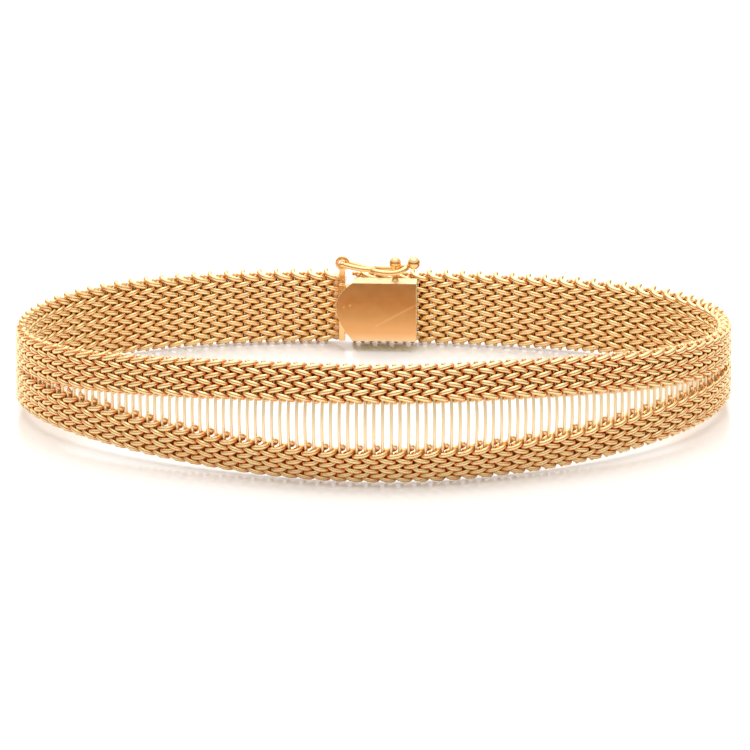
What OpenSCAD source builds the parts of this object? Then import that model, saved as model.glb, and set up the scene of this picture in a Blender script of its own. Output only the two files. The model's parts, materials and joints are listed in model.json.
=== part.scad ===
// Woven gold mesh bracelet with an open window across its front and a box clasp with a safety.
// The loop stands on its edge: X along the loop, Y from the window to the clasp, Z up.
// The clasp's pieces are drawn in the clasp's own frame: X along the box, Y away from the wrist.

/* [Loop] */
// Length of the loop along the middle of the mesh
loop_length = 67.6; // [60:0.1:80]
// Depth of the loop along the middle of the mesh
loop_depth = 45.1; // [38:0.1:56]
// How much wider the plan is along its back than along its front
back_spread = 2; // [-1:0.1:2.4]
// How much the corners of the plan are drawn in
corner_draw = 0.78; // [-0.2:0.01:0.9]
// How much rounder the front is than the back
front_round = 1; // [-1:0.01:1.4]
// How far the left of the back stands off further than its right
back_turn = 0.46; // [-0.5:0.01:0.7]
// How far the ends of the plan are twisted against its faces
end_twist = 0.11; // [-0.5:0.01:0.7]

/* [Mesh] */
// Width of the whole mesh band
band_width = 7.6; // [6:0.1:8]
// Thickness of the mesh
band_thickness = 1.4; // [1:0.05:1.6]
// Bevel along the edges of the mesh
band_bevel = 0.35; // [0.2:0.05:0.45]
// Spacing of the cross wires along the band
wire_pitch = 0.82; // [0.75:0.01:1]
// Thickness of a cross wire
wire_d = 0.28; // [0.2:0.01:0.36]

/* [Window] */
// How far the two strips are spread in the window's middle
window_height = 4.87; // [3:0.05:6.5]
// How far from the window's middle the strips keep more than a third of that spread
window_reach = 29.8; // [24:0.1:36]
// Place of the window's middle along the band, from the middle of the front
window_shift = 1.8; // [-3:0.1:3]
// Power of the curve that brings the strips together towards the window's ends
window_power = 2.6; // [2:0.01:3.2]
// Radius of the mesh's crown across its width, in the middle of the window
crown_radius = 9.3; // [8:0.1:30]
// How far the inner edge of each strip reaches back into the spread between them
strip_lap = 0.46; // [0.4:0.01:0.6]
// Lowest part of the window that a bare wire still crosses
wired_height = 0.6; // [0.4:0.05:1]

/* [Clasp box] */
// Place of the box along the back, from the middle of the loop
clasp_shift = 1.2; // [-2:0.01:2]
// Length of the box
box_length = 6.25; // [5:0.05:8]
// Height of the box
box_height = 5.85; // [4.6:0.05:6]
// Depth of the box, from its face to the mesh
box_depth = 2.3; // [2.2:0.05:2.6]
// Wall of the box
box_wall = 0.3; // [0.2:0.01:0.34]
// Height of the box above the lower edge of the mesh
box_rise = 0.95; // [0.5:0.05:1]
// How far the face plate's point reaches past the box
point_reach = 1.6; // [1.4:0.05:1.8]
// Height of the face plate's point above the bottom of the box
point_height = 3.5; // [2.6:0.05:4]

/* [End cap and tongue] */
// Thickness of the end cap along the band
cap_thickness = 0.6; // [0.5:0.05:0.8]
// Thickness of the tongue's base block along the band
base_thickness = 0.6; // [0.3:0.05:0.7]
// Thickness of the tongue's spring strip
leaf_thickness = 0.25; // [0.2:0.01:0.28]
// How far the upper and lower edges of the tongue stay inside the box
leaf_margin = 0.25; // [0.15:0.05:0.6]

/* [Safety] */
// Thickness of the safety's wire
safety_wire_d = 0.5; // [0.4:0.05:0.56]
// Outer diameter of the hinge ring
ring_outer_d = 1.4; // [1.2:0.05:1.6]
// Diameter of the hinge ring's hole
ring_bore_d = 0.75; // [0.66:0.01:0.8]
// Thickness of the hinge ring along its hole
ring_thickness = 0.6; // [0.4:0.05:0.7]
// Height of the hinge above the top of the box
hinge_rise = 1.75; // [1.6:0.05:2.4]
// Height of the safety's lowest point above the top of the box
safety_clear = 1; // [0.8:0.01:1.4]
// Diameter of the stud's ball
stud_ball_d = 1.15; // [0.9:0.05:1.3]
// Diameter of the stud's post
stud_post_d = 0.5; // [0.4:0.05:0.6]
// Height of the stud's ball above the top of the box
stud_rise = 1.82; // [1.7:0.01:2.4]
// Place of the stud along the box, from its middle
stud_shift = 1; // [0.6:0.01:1.2]
// Diameter of the safety's finger ball
finger_ball_d = 1.2; // [0.9:0.05:1.3]

/* [Hidden] */
$fn = 32;

// Clearances between neighbouring pieces
solder_gap = 0.05;
slide_gap = 0.1;
ring_gap = 0.1;
ball_gap = 0.16;
post_gap = 0.03;

// Plan of the loop: an oval that waves of its own shape draw out of true, as the hand bends it
function plan(t) = [
    loop_length / 2 * cos(t) + back_spread * sin(2 * t) - corner_draw * sin(4 * t),
    loop_depth / 2 * sin(t) + front_round * cos(2 * t) + back_turn * cos(3 * t) + end_twist * sin(4 * t)
];
function plan_slope(t) = [
    -loop_length / 2 * sin(t) + 2 * back_spread * cos(2 * t) - 4 * corner_draw * cos(4 * t),
    loop_depth / 2 * cos(t) - 2 * front_round * sin(2 * t) - 3 * back_turn * sin(3 * t)
        + 4 * end_twist * cos(4 * t)
];
function outward(t) = let (slope = plan_slope(t)) [slope[1], -slope[0]] / norm(slope);

// Distance round the loop, from the middle of the front by the right end
plan_steps = 360;
function step_angle(i) = -90 + i * 360 / plan_steps;
function chord(i) = norm(plan(step_angle(i + 1)) - plan(step_angle(i)));
walked = [for (i = 0, sum = 0; i <= plan_steps; sum = sum + chord(i), i = i + 1) sum];
loop_total = walked[plan_steps];
angle_table = [for (i = [0 : plan_steps]) [walked[i], step_angle(i)]];
walk_table = [for (i = [0 : plan_steps]) [step_angle(i), walked[i]]];
function angle_at(s) = lookup(s - loop_total * floor(s / loop_total), angle_table);

// Window: the strips' spread, the opening it leaves and the mesh's crown at a distance s from the middle
function from_front(s) = s - loop_total * round(s / loop_total);
function from_window(s) = abs(from_front(s) - window_shift);
function window_at(s) = window_height * exp(-pow(from_window(s) / window_reach, window_power));
function opening_at(s) = window_at(s) - 2 * strip_lap;
function crown_at(s) = window_at(s) / window_height / crown_radius;

// A point of the mesh: s along the band, across its width, rise above its middle surface
function mesh_point(s, across, rise) =
    let (
        bend = crown_at(s),
        lean = across * bend * 180 / PI,
        out = (bend > 0 ? -(1 - cos(lean)) / bend : 0) + rise * cos(lean),
        up = (bend > 0 ? sin(lean) / bend : across) + rise * sin(lean),
        place = plan(angle_at(s)) + out * outward(angle_at(s))
    )
    [place[0], place[1], up];

// Clasp: its frame on the loop
clasp_walk = lookup(90, walk_table) - clasp_shift;
clasp_angle = angle_at(clasp_walk);
clasp_place = plan(clasp_angle);
clasp_out = outward(clasp_angle);
clasp_turn = atan2(-clasp_out[0], clasp_out[1]);
function inward_of_clasp(s) = -(plan(angle_at(s)) - clasp_place) * clasp_out;

// Box, in the clasp's frame
box_left = -box_length / 2;
box_bottom = -band_width / 2 + box_rise;
box_top = box_bottom + box_height;
mesh_bow = max(inward_of_clasp(clasp_walk - box_length / 2), inward_of_clasp(clasp_walk + box_length / 2), 0);
box_back = -band_thickness / 2 - mesh_bow - solder_gap;
box_face = box_back - box_depth;
box_middle = (box_back + box_face) / 2;
hollow_back = box_back - box_wall;
hollow_face = box_face + box_wall;
mouth_depth = (box_depth - 2 * box_wall) * 0.5;

// End cap and tongue, left of the box
base_right = box_left - slide_gap;
base_left = base_right - base_thickness;
cap_right = base_left - solder_gap;
cap_left = cap_right - cap_thickness;
mesh_end = cap_left - solder_gap;
cover_end = box_left - base_thickness / 2;
cap_bottom = box_bottom - 0.1;
cap_top = box_top - 0.3;
leaf_bottom = box_bottom + box_wall + leaf_margin;
leaf_height = box_height - 2 * box_wall - 2 * leaf_margin;
leaf_right = -box_left - box_wall - 3 * leaf_thickness;
catch_left = box_left + box_wall + slide_gap;

// Ends of the mesh: it starts at the end cap and ends behind the box, a lap further on
band_start = clasp_walk - mesh_end;
band_stop = loop_total + clasp_walk - cover_end;
band_run = band_stop - band_start;
ring_count = ceil(band_run / (3 * wire_pitch));

// Safety: hinge, stud, lever
hinge_x = (cap_left + cap_right) / 2;
hinge_z = box_top + hinge_rise;
stud_z = box_top + stud_rise;
finger_x = stud_shift + stud_ball_d / 2 + ball_gap + safety_wire_d + finger_ball_d / 2;
loop_right = finger_x - finger_ball_d / 2;
loop_half = stud_ball_d / 2 + ball_gap + safety_wire_d / 2;
pinch_x = stud_shift - 2.3;
low_x = stud_shift - 0.4;
low_z = box_top + safety_clear;
fork_half = ring_thickness / 2 + ring_gap + safety_wire_d / 2;
function lever_z(x) = x < low_x
    ? low_z + (hinge_z - low_z) * pow((low_x - x) / (low_x - hinge_x), 2)
    : low_z + (stud_z - low_z) * pow((x - low_x) / (finger_x - low_x), 2);

// Stance: the wide front and the narrower back both touch the table
edge_rise = band_thickness / 2 - band_bevel;
back_y = max([for (i = [0 : plan_steps - 1]) plan(step_angle(i))[1]]);
back_edge = [0, back_y + edge_rise, -band_width / 2];
function front_edge(s) = mesh_point(s, -(window_at(s) + band_width) / 2, edge_rise);
function lean_from(p) = atan((back_edge[2] - p[2]) / (back_edge[1] - p[1]));
front_walk = loop_length / 3;
stance_tilt = max([for (s = [-front_walk : 0.5 : front_walk]) lean_from(front_edge(s))]);
function stood_z(p) = p[2] * cos(stance_tilt) - p[1] * sin(stance_tilt);
function stood_y(p) = p[1] * cos(stance_tilt) + p[2] * sin(stance_tilt);
stance_lift = -stood_z(back_edge);
function front_face(s) = mesh_point(s, -opening_at(s) / 2 - band_bevel, band_thickness / 2);
front_reach = min([for (s = [-front_walk : 0.5 : front_walk]) stood_y(front_face(s))]);
back_reach = stood_y([0, back_y + band_thickness / 2, band_width / 2 - band_bevel]);
stance_shift = -(front_reach + back_reach) / 2;

module stand() {
    translate([0, stance_shift, stance_lift])
        rotate([-stance_tilt, 0, 0])
        children();
}

module at_clasp() {
    stand()
        translate([clasp_place[0], clasp_place[1], 0])
        rotate([0, 0, clasp_turn])
        children();
}

// Closed or open tube through rings of points, all rings with as many points
module skin(rings, closed) {
    sides = len(rings[0]);
    count = len(rings);
    spans = closed ? count : count - 1;
    walls = [
        for (i = [0 : spans - 1], j = [0 : sides - 1])
        let (
            a = i * sides + j,
            b = i * sides + (j + 1) % sides,
            c = ((i + 1) % count) * sides + (j + 1) % sides,
            d = ((i + 1) % count) * sides + j
        )
        each [[a, c, b], [a, d, c]]
    ];
    ends = closed ? [] : [
        [for (j = [0 : sides - 1]) j],
        [for (j = [sides - 1 : -1 : 0]) (count - 1) * sides + j]
    ];
    polyhedron([for (ring = rings) each ring], concat(walls, ends));
}

// One strip of the mesh, on the upper (side 1) or lower (side -1) half of the band
module mesh_strip(side) {
    half = band_thickness / 2;
    flat = half - band_bevel;
    rings = [
        for (i = [0 : ring_count])
        let (
            s = band_start + band_run * i / ring_count,
            inner = window_at(s) / 2 - strip_lap,
            outer = window_at(s) / 2 + band_width / 2,
            middle = (inner + outer) / 2,
            section = [
                [inner, -flat], [inner + band_bevel, -half], [middle, -half], [outer - band_bevel, -half],
                [outer, -flat], [outer, flat],
                [outer - band_bevel, half], [middle, half], [inner + band_bevel, half], [inner, flat]
            ]
        )
        [for (corner = section) mesh_point(s, side * corner[0], side * corner[1])]
    ];
    skin(rings, false);
}

// A bare wire across the window at a distance s from the middle of the front
module cross_wire(s) {
    reach = opening_at(s) / 2 + band_bevel;
    foot = mesh_point(s, -reach, 0);
    translate(foot) cylinder(d = wire_d, h = mesh_point(s, reach, 0)[2] - foot[2], $fn = 13);
}

module woven_band() {
    side_wires = floor(1.5 * window_reach / wire_pitch);
    color("goldenrod")
        stand()
        union() {
            mesh_strip(1);
            mesh_strip(-1);
            for (k = [-side_wires : side_wires]) {
                if (opening_at(k * wire_pitch) > wired_height) cross_wire(k * wire_pitch);
            }
        }
}

module end_cap() {
    neck_top = hinge_z - ring_bore_d / 2;
    color("gold")
        at_clasp()
        difference() {
            union() {
                translate([cap_left, box_face + box_wall + solder_gap, cap_bottom])
                    cube([
                        cap_thickness,
                        band_thickness / 2 - box_face - box_wall - solder_gap,
                        cap_top - cap_bottom
                    ]);
                translate([cap_left, box_middle - ring_thickness / 2, cap_top - box_wall])
                    cube([cap_thickness, ring_thickness, neck_top - cap_top + box_wall]);
                translate([hinge_x, box_middle, hinge_z])
                    rotate([90, 0, 0])
                    cylinder(d = ring_outer_d, h = ring_thickness, center = true);
            }
            translate([hinge_x, box_middle, hinge_z])
                rotate([90, 0, 0])
                cylinder(d = ring_bore_d, h = 2 * ring_thickness, center = true);
        }
}

module clasp_tongue() {
    back = hollow_back - slide_gap;
    front = hollow_face + slide_gap;
    base_front = box_face + box_wall + solder_gap;
    bend_right = leaf_right + leaf_thickness;
    fold = (back + front) / 2;
    color("gold")
        at_clasp()
        translate([0, 0, leaf_bottom])
        linear_extrude(leaf_height)
        polygon([
            [base_left, base_front],
            [base_right, base_front],
            [base_right, back - leaf_thickness],
            [leaf_right, back - leaf_thickness],
            [leaf_right, fold],
            [catch_left, front + leaf_thickness],
            [catch_left, front],
            [bend_right, fold - leaf_thickness],
            [bend_right, back],
            [base_left, back]
        ]);
}

// Edge of the face plate: its left end curves out to a point
module face_plate() {
    steps = 12;
    point_z = box_bottom + point_height;
    function edge_x(share) = box_left - point_reach * (1 - share * share);
    rotate([90, 0, 0])
        linear_extrude(box_wall)
        polygon([
            [-box_left, box_bottom],
            [-box_left, box_top],
            for (i = [steps : -1 : 1]) [edge_x(i / steps), point_z + (box_top - point_z) * i / steps],
            for (i = [0 : steps]) [edge_x(i / steps), point_z - point_height * i / steps]
        ]);
}

module clasp_box() {
    color("gold")
        at_clasp()
        difference() {
            union() {
                translate([box_left, box_face, box_bottom]) cube([box_length, box_depth, box_height]);
                translate([0, box_face + box_wall, 0]) face_plate();
            }
            translate([box_left + box_wall, hollow_face, box_bottom + box_wall])
                cube([
                    box_length - 2 * box_wall,
                    hollow_back - hollow_face,
                    box_height - 2 * box_wall
                ]);
            translate([box_left - box_wall, hollow_back - mouth_depth, leaf_bottom - slide_gap])
                cube([3 * box_wall, mouth_depth, leaf_height + 2 * slide_gap]);
            translate([stud_shift, box_middle, box_top - 2 * box_wall])
                cylinder(d = stud_post_d + 2 * post_gap, h = 3 * box_wall);
        }
}

module safety_stud() {
    foot = box_top - box_wall;
    color("gold")
        at_clasp()
        translate([stud_shift, box_middle, 0])
        union() {
            translate([0, 0, foot]) cylinder(d = stud_post_d, h = stud_z - foot);
            translate([0, 0, stud_z]) sphere(d = stud_ball_d);
        }
}

// Rings of an eight-sided wire along a list of points; turn says which way each ring faces
function wire_rings(path, turns) = [
    for (i = [0 : len(path) - 1])
    [
        for (j = [0 : 7])
        let (a = 360 * j / 8)
        path[i] + safety_wire_d / 2 * (cos(a) * turns[i] + [0, 0, sin(a)])
    ]
];

module safety_lever() {
    fork_steps = 20;
    loop_steps = 28;
    fork_long = pinch_x - hinge_x + safety_wire_d / 4;
    loop_middle = (pinch_x + loop_right) / 2;
    loop_long = (loop_right - pinch_x) / 2;
    fork_angles = [for (i = [0 : fork_steps]) 180 * i / fork_steps];
    loop_angles = [for (i = [0 : loop_steps - 1]) 360 * i / loop_steps];
    function around(a, x, long, wide) = let (px = x + long * sin(a)) [px, wide * cos(a), lever_z(px)];
    function facing(a, long, wide) = let (v = [wide * sin(a), long * cos(a), 0]) v / norm(v);
    color("gold")
        at_clasp()
        translate([0, box_middle, 0])
        union() {
            skin(wire_rings(
                [for (a = fork_angles) around(a, hinge_x, fork_long, fork_half)],
                [for (a = fork_angles) facing(a, fork_long, fork_half)]
            ), false);
            skin(wire_rings(
                [for (a = loop_angles) around(a, loop_middle, loop_long, loop_half)],
                [for (a = loop_angles) facing(a, loop_long, loop_half)]
            ), true);
            translate([hinge_x, 0, hinge_z])
                rotate([90, 0, 0])
                cylinder(d = safety_wire_d, h = 2 * fork_half, center = true);
            for (side = [-1, 1]) {
                translate([hinge_x, side * fork_half, hinge_z]) sphere(d = 1.1 * safety_wire_d);
            }
            translate([finger_x, 0, stud_z]) sphere(d = finger_ball_d);
        }
}

woven_band();
end_cap();
clasp_tongue();
clasp_box();
safety_stud();
safety_lever();
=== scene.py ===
"""Looks of a woven gold mesh bracelet: its wires, its clasp's finish and a plain pale studio."""
import json
import math
from collections import namedtuple

import bmesh
import bpy
from bpy.props import FloatProperty, FloatVectorProperty, IntProperty, PointerProperty
from mathutils import Matrix, Vector, noise


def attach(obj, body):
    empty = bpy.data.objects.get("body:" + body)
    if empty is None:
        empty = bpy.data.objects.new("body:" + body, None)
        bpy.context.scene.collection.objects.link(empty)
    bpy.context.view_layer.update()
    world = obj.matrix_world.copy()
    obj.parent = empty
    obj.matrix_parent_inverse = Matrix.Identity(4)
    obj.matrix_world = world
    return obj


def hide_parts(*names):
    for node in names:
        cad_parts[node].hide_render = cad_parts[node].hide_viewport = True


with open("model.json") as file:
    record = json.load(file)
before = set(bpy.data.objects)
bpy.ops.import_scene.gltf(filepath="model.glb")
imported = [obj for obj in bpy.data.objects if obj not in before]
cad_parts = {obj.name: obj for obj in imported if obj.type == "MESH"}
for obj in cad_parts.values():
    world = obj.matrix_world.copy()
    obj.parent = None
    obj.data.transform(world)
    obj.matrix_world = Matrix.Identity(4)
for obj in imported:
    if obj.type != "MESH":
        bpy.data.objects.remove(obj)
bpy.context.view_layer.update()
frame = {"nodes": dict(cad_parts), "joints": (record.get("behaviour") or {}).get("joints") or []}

bl_info = {
    "name": "Woven Mesh Bracelet",
    "version": (1, 0, 0),
    "blender": (4, 5, 0),
    "location": "View3D > Sidebar > Bracelet",
    "description": "Weaves a mesh bracelet round its frame and finishes its clasp",
    "category": "Add Mesh",
}

HINGE = frame["joints"][0]
PHOTO_WIDTH = 750  # pixels
SENSOR_WIDTH = 36.0  # millimetres
NEAR_CLIP = 0.05
LIGHT_PLACE = (0.0, 0.1, 0.55)
MM = 0.001


def length(name, description, millimetres):
    """A length property with its default in millimetres."""
    return FloatProperty(
        name=name, description=description, default=millimetres * MM, unit="LENGTH", precision=5
    )


def share(name, description, value):
    """A plain number property."""
    return FloatProperty(name=name, description=description, default=value)


def colour(name, description, value):
    """A colour property."""
    return FloatVectorProperty(
        name=name, description=description, default=value, size=4, subtype="COLOR", min=0, max=1
    )


class LoopSizes(bpy.types.PropertyGroup):
    """Plan of the loop and the window across its front."""

    thickness: length("Mesh thickness", "Thickness of the mesh", 1.4)
    loop_length: length("Loop length", "Length along the middle of the mesh", 67.6)
    loop_depth: length("Loop depth", "Depth along the middle of the mesh", 45.1)
    back_spread: length("Back spread", "How much wider the plan is along its back", 2.0)
    corner_draw: length("Corner draw", "How much the corners are drawn in", 0.78)
    front_round: length("Front round", "How much rounder the front is than the back", 1.0)
    back_turn: length("Back turn", "How far the left of the back stands off further", 0.46)
    end_twist: length("End twist", "How far the ends are twisted against the faces", 0.11)
    band_width: length("Band width", "Width of the whole mesh band", 7.6)
    window_height: length("Window height", "How far the strips are spread in the middle", 4.87)
    window_reach: length("Window reach", "How far the strips keep a third of their spread", 29.8)
    window_shift: length("Window shift", "Place of the window's middle along the band", 1.8)
    window_power: share("Window power", "Power of the curve that narrows the window", 2.6)
    crown_radius: length("Crown radius", "Radius of the mesh across its width", 9.3)
    closed_spread: length("Closed spread", "Spread at which the strips become one band", 0.25)


class WeaveSizes(bpy.types.PropertyGroup):
    """Coils and cross wires of the mesh."""

    wire_pitch: length("Wire pitch", "Spacing of the cross wires along the band", 0.82)
    cross_wire_d: length("Cross wire", "Thickness of a cross wire", 0.34)
    coil_wire_d: length("Coil wire", "Thickness of a coil's wire", 0.51)
    coil_pitch: length("Coil pitch", "Rise of a coil in one turn", 1.12)
    coil_half: length("Coil half length", "Half a turn's length along the band", 0.79)
    strip_turns: IntProperty(name="Strip turns", description="Turns of a coil in a strip", default=3)
    turn_steps: IntProperty(name="Turn steps", description="Rings of faces in a turn", default=22)
    wire_steps: IntProperty(name="Wire steps", description="Rings of faces in a cross wire", default=14)
    wire_sides: IntProperty(name="Sides", description="Sides of a wire of the mesh", default=8)
    tail: share("Tail", "Share of a turn that a coil runs on past its strip", 0.03)
    edge_rise: length("Edge rise", "Rise of every second coil at the whole band's upper edge", 0.16)
    curl_rise: length("Curl rise", "Rise of every second coil at the lower strip's upper edge", 0.36)
    edge_reach: share("Edge reach", "Share of a turn over which they rise", 0.35)
    low_gap: length("Low gap", "Gap from the coils to the lower edge of the mesh", 0.03)
    soldered: length("Soldered length", "How far the mesh runs into the end cap's solder", 0.45)


class ClaspSizes(bpy.types.PropertyGroup):
    """Clasp, in its own frame: along the box, away from the wrist, and up."""

    shift: length("Clasp shift", "Place of the box along the back", 1.2)
    box_length: length("Box length", "Length of the box", 6.25)
    box_top: length("Box top", "Top of the box above the middle of the mesh", 3.0)
    box_middle: length("Box middle", "Middle of the box's depth", -1.95384)
    hinge_x: length("Hinge place", "Place of the safety's hinge along the box", -4.175)
    hinge_z: length("Hinge height", "Height of the safety's hinge", 4.75)
    low_x: length("Safety low place", "Place of the safety's lowest point along the box", 0.6)
    low_z: length("Safety low height", "Height of the safety's lowest point", 4.0)
    pinch_x: length("Safety pinch", "Place along the box where the safety's loop begins", -1.3)
    stud_x: length("Stud place", "Place of the stud along the box", 1.0)
    stud_z: length("Stud height", "Height of the stud's ball", 4.82)
    stud_ball_d: length("Stud ball", "Diameter of the stud's ball", 1.2)
    stud_post_d: length("Stud post", "Diameter of the stud's post", 0.5)
    finger_x: length("Finger ball place", "Place of the finger ball along the box", 2.835)
    finger_ball_d: length("Finger ball", "Diameter of the finger ball", 1.28)
    wire_d: length("Safety wire", "Thickness of the safety's wire", 0.54)
    fork_half: length("Fork half width", "Half the width of the safety at its hinge", 0.65)
    loop_half: length("Loop half width", "Half the width of the safety round the stud", 0.985)
    mesh_end: length("Mesh end", "End of the mesh left of the clasp", -4.525)
    cover_end: length("Cover end", "End of the mesh behind the box", -3.425)
    edge_round: length("Edge round", "Rounding of the clasp's edges", 0.13)


class FinishColours(bpy.types.PropertyGroup):
    """Colours of the gold and of the floor."""

    mesh_gold: colour("Mesh gold", "Gold of the woven wires", (0.92, 0.67, 0.34, 1))
    # Deep gold is painted shade between the woven wires; polished and spring gold also mix a little of it
    # in as a random tone.
    deep_gold: colour("Deep gold", "Gold deep between the wires", (0.72, 0.15, 0.005, 1))
    # Wire gold is paler than the mesh gold: painted reflection of the pale floor and room on the bare cross
    # wires.
    wire_gold: colour("Wire gold", "Gold of the bare cross wires", (1.0, 0.82, 0.56, 1))
    plate_gold: colour("Clasp gold", "Gold of the clasp's safety", (0.88, 0.58, 0.27, 1))
    # Pale gold is painted light: the box's top and edges, which face the soft light, are given a paler gold
    # than its face plate.
    pale_gold: colour("Pale gold", "Gold of the box's top and edges", (1.0, 0.9, 0.58, 1))
    solder_gold: colour("Solder gold", "Redder gold of the solder", (0.9, 0.6, 0.38, 1))
    floor_white: colour("Floor", "The pale floor", (0.93, 0.93, 0.93, 1))


class StageSizes(bpy.types.PropertyGroup):
    """Camera, soft light and floor of the studio."""

    distance: length("Distance", "Camera to the bracelet", 900)
    elevation: FloatProperty(
        name="Elevation", description="Camera above the floor", default=math.radians(17.9), subtype="ANGLE"
    )
    pixels_per_mm: share("Pixels per mm", "Picture scale at the loop's middle", 10.405)
    aim_x: length("Aim along", "Middle of the picture along the loop", 0.11)
    aim_y: length("Aim across", "Middle of the picture across the loop", -0.134)
    aim_z: length("Aim height", "Middle of the picture above the floor", 3.84)
    light_side: length("Light side", "Side of the square soft light", 600)
    light_power: FloatProperty(
        name="Light power", description="Power of the soft light", default=2.2, unit="POWER"
    )
    floor_side: length("Floor side", "Side of the square floor", 4000)


class BraceletSettings(bpy.types.PropertyGroup):
    """All the sizes and colours of the bracelet."""

    loop: PointerProperty(type=LoopSizes)
    weave: PointerProperty(type=WeaveSizes)
    clasp: PointerProperty(type=ClaspSizes)
    finish: PointerProperty(type=FinishColours)
    stage: PointerProperty(type=StageSizes)


def settings():
    """The scene's bracelet settings."""
    return bpy.context.scene.bracelet


class Plan:
    """The loop's plan: an oval drawn out of true by waves, walked from the middle of the front."""

    steps = 720

    def __init__(self, loop):
        self.loop = loop
        self.angles = [math.radians(-90 + 360 * i / self.steps) for i in range(self.steps + 1)]
        self.points = [self.point(angle) for angle in self.angles]
        self.walked = [0.0]
        for here, there in zip(self.points, self.points[1:]):
            self.walked.append(self.walked[-1] + (there - here).length)
        self.total = self.walked[-1]

    def point(self, t):
        """The point of the plan at an angle."""
        loop = self.loop
        x = loop.loop_length / 2 * math.cos(t)
        x += loop.back_spread * math.sin(2 * t) - loop.corner_draw * math.sin(4 * t)
        y = loop.loop_depth / 2 * math.sin(t) + loop.front_round * math.cos(2 * t)
        y += loop.back_turn * math.cos(3 * t) + loop.end_twist * math.sin(4 * t)
        return Vector((x, y, 0))

    def outward(self, t):
        """The direction away from the wrist at an angle."""
        reach = 1e-4
        slope = self.point(t + reach) - self.point(t - reach)
        return Vector((slope.y, -slope.x, 0)).normalized()

    def walk_to(self, t):
        """Distance walked to an angle."""
        place = (t - self.angles[0]) / (2 * math.pi) * self.steps
        index = int(place)
        return self.walked[index] + (place - index) * (self.walked[index + 1] - self.walked[index])

    def angle_at(self, distance):
        """The angle at a distance walked."""
        distance %= self.total
        index = max(i for i, walked in enumerate(self.walked[:-1]) if walked <= distance)
        part = (distance - self.walked[index]) / (self.walked[index + 1] - self.walked[index])
        return self.angles[index] + part * (self.angles[index + 1] - self.angles[index])


class Stance:
    """Where the loop and its clasp stand, worked out from the safety's hinge in the frame."""

    def __init__(self, plan, clasp):
        axis, place = Vector(HINGE["axis"]).normalized(), Vector(HINGE["pos_m"])
        self.clasp_walk = plan.walk_to(math.pi / 2) - clasp.shift
        angle = plan.angle_at(self.clasp_walk)
        out = plan.outward(angle)
        turn = math.atan2(-out.x, out.y)
        tilt = math.asin(axis.z / math.cos(turn))
        local = Matrix.Translation(plan.point(angle)) @ Matrix.Rotation(turn, 4, "Z")
        tilted = Matrix.Rotation(-tilt, 4, "X")
        hinge = Vector((clasp.hinge_x, clasp.box_middle, clasp.hinge_z))
        lift = place - tilted @ local @ hinge
        self.loop = Matrix.Translation(lift) @ tilted
        self.clasp = self.loop @ local


class Num:
    """A number in a node tree, so that node maths reads like arithmetic."""

    def __init__(self, tree, socket):
        self.tree, self.socket = tree, socket

    def maths(self, operation, *others):
        """A Math node on this number and others."""
        node = self.tree.nodes.new("ShaderNodeMath")
        node.operation = operation
        for port, value in zip(node.inputs, (self, *others)):
            feed(self.tree, port, value)
        return Num(self.tree, node.outputs[0])

    def __add__(self, other):
        return self.maths("ADD", other)

    def __sub__(self, other):
        return self.maths("SUBTRACT", other)

    def __mul__(self, other):
        return self.maths("MULTIPLY", other)

    def __truediv__(self, other):
        return self.maths("DIVIDE", other)

    __radd__ = __add__
    __rmul__ = __mul__


def feed(tree, port, value):
    """Links or sets one input of a node."""
    if isinstance(value, Num):
        tree.links.new(value.socket, port)
    elif isinstance(value, bpy.types.NodeSocket):
        tree.links.new(value, port)
    else:
        port.default_value = value


def add_node(tree, kind, options=None, **inputs):
    """A node with its options and its inputs, named with underscores for spaces."""
    node = tree.nodes.new(kind)
    for key, value in (options or {}).items():
        setattr(node, key, value)
    for key, value in inputs.items():
        feed(tree, node.inputs[key.replace("_", " ")], value)
    return node


def vector_maths(tree, operation, *vectors):
    """A Vector Math node on vectors; returns its vector."""
    node = add_node(tree, "ShaderNodeVectorMath", {"operation": operation})
    for port, vector in zip(node.inputs, vectors):
        feed(tree, port, vector)
    return node.outputs[0]


def smooth_step(tree, value, low, high, start, end):
    """A number that goes smoothly from start to end as another goes from low to high."""
    node = add_node(
        tree, "ShaderNodeMapRange", {"interpolation_type": "SMOOTHSTEP"},
        Value=value, From_Min=low, From_Max=high, To_Min=start, To_Max=end,
    )
    return Num(tree, node.outputs["Result"])


def highest(numbers):
    """The highest of several numbers."""
    top = numbers[0]
    for number in numbers[1:]:
        top = top.maths("MAXIMUM", number)
    return top


def spread_nodes(tree):
    """Lays a tree's nodes out in columns."""
    for index, node in enumerate(tree.nodes):
        node.location = (220 * (index // 8), -180 * (index % 8))


SOCKETS = {
    "geometry": "NodeSocketGeometry",
    "float": "NodeSocketFloat",
    "int": "NodeSocketInt",
    "vector": "NodeSocketVector",
    "colour": "NodeSocketColor",
    "material": "NodeSocketMaterial",
}


def new_tree(name, kind, takes, gives):
    """An empty tree with its sockets; returns it, its inputs by name and its output node."""
    tree = bpy.data.node_groups.new(name, kind)
    for socket, form in takes.items():
        tree.interface.new_socket(socket, in_out="INPUT", socket_type=SOCKETS[form])
    for socket, form in gives.items():
        tree.interface.new_socket(socket, in_out="OUTPUT", socket_type=SOCKETS[form])
    source = tree.nodes.new("NodeGroupInput")
    inputs = {socket: source.outputs[socket] for socket in takes}
    for socket, form in takes.items():
        if form in ("float", "int"):
            inputs[socket] = Num(tree, inputs[socket])
    return tree, inputs, tree.nodes.new("NodeGroupOutput")


WINDOW_INPUTS = dict.fromkeys(
    ("Window Height", "Window Reach", "Window Shift", "Window Power", "Crown Radius"), "float"
)
BAND_INPUTS = {**WINDOW_INPUTS, "Wire": "float", "Sides": "int", "Material": "material"}
FLATTEST_BEND = 0.01  # keeps the crown's sums finite where the mesh is flat


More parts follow.
